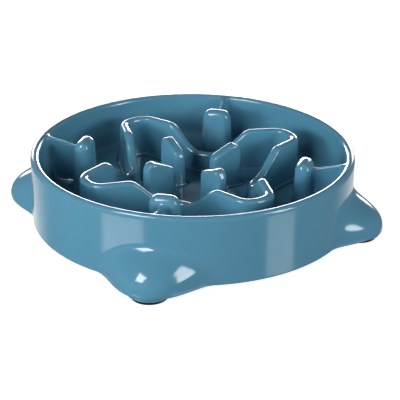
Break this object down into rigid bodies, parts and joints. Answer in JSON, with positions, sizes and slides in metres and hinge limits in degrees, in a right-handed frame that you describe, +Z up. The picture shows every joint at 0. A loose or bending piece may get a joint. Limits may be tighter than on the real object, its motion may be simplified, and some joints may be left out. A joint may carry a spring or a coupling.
{
  "type": "slow feeder bowl",
  "caption": "Round slow feeder bowl on flared feet with rubber pads; a clover-shaped ridge, upright posts and centre blades in the basin make food hard to gulp",
  "frame": {"origin": "on the table under the middle of the bowl, level with the undersides of the rubber pads", "axes": "+Z up out of the bowl; +X through the right foot and post, and +Y through the back foot and post"},
  "size_m": [0.2876, 0.2876, 0.057],
  "materials": {
    "bowl_plastic": "glossy injection-moulded plastic, dusty blue",
    "pad_rubber": "matt black rubber"
  },
  "bodies": {
    "root": {"outer_wall": "bowl_plastic", "rolled_lip": "bowl_plastic", "basin_wall": "bowl_plastic", "basin_corner": "bowl_plastic", "basin_floor": "bowl_plastic", "maze_nose_back_right": "bowl_plastic", "maze_nose_back_left": "bowl_plastic", "maze_nose_front_left": "bowl_plastic", "maze_nose_front_right": "bowl_plastic", "maze_limb_right_back": "bowl_plastic", "maze_limb_back_right": "bowl_plastic", "maze_limb_back_left": "bowl_plastic", "maze_limb_left_back": "bowl_plastic", "maze_limb_left_front": "bowl_plastic", "maze_limb_front_left": "bowl_plastic", "maze_limb_front_right": "bowl_plastic", "maze_limb_right_front": "bowl_plastic", "maze_neck_right": "bowl_plastic", "maze_neck_back": "bowl_plastic", "maze_neck_left": "bowl_plastic", "maze_neck_front": "bowl_plastic", "centre_blade_back_right": "bowl_plastic", "centre_blade_back_left": "bowl_plastic", "centre_blade_front_left": "bowl_plastic", "centre_blade_front_right": "bowl_plastic", "post_right": "bowl_plastic", "post_back": "bowl_plastic", "post_left": "bowl_plastic", "post_front": "bowl_plastic", "post_web_right": "bowl_plastic", "post_web_back": "bowl_plastic", "post_web_left": "bowl_plastic", "post_web_front": "bowl_plastic", "foot_right": "bowl_plastic", "foot_back": "bowl_plastic", "foot_left": "bowl_plastic", "foot_front": "bowl_plastic", "foot_pad_right": "pad_rubber", "foot_pad_back": "pad_rubber", "foot_pad_left": "pad_rubber", "foot_pad_front": "pad_rubber"}
  },
  "joints": []
}
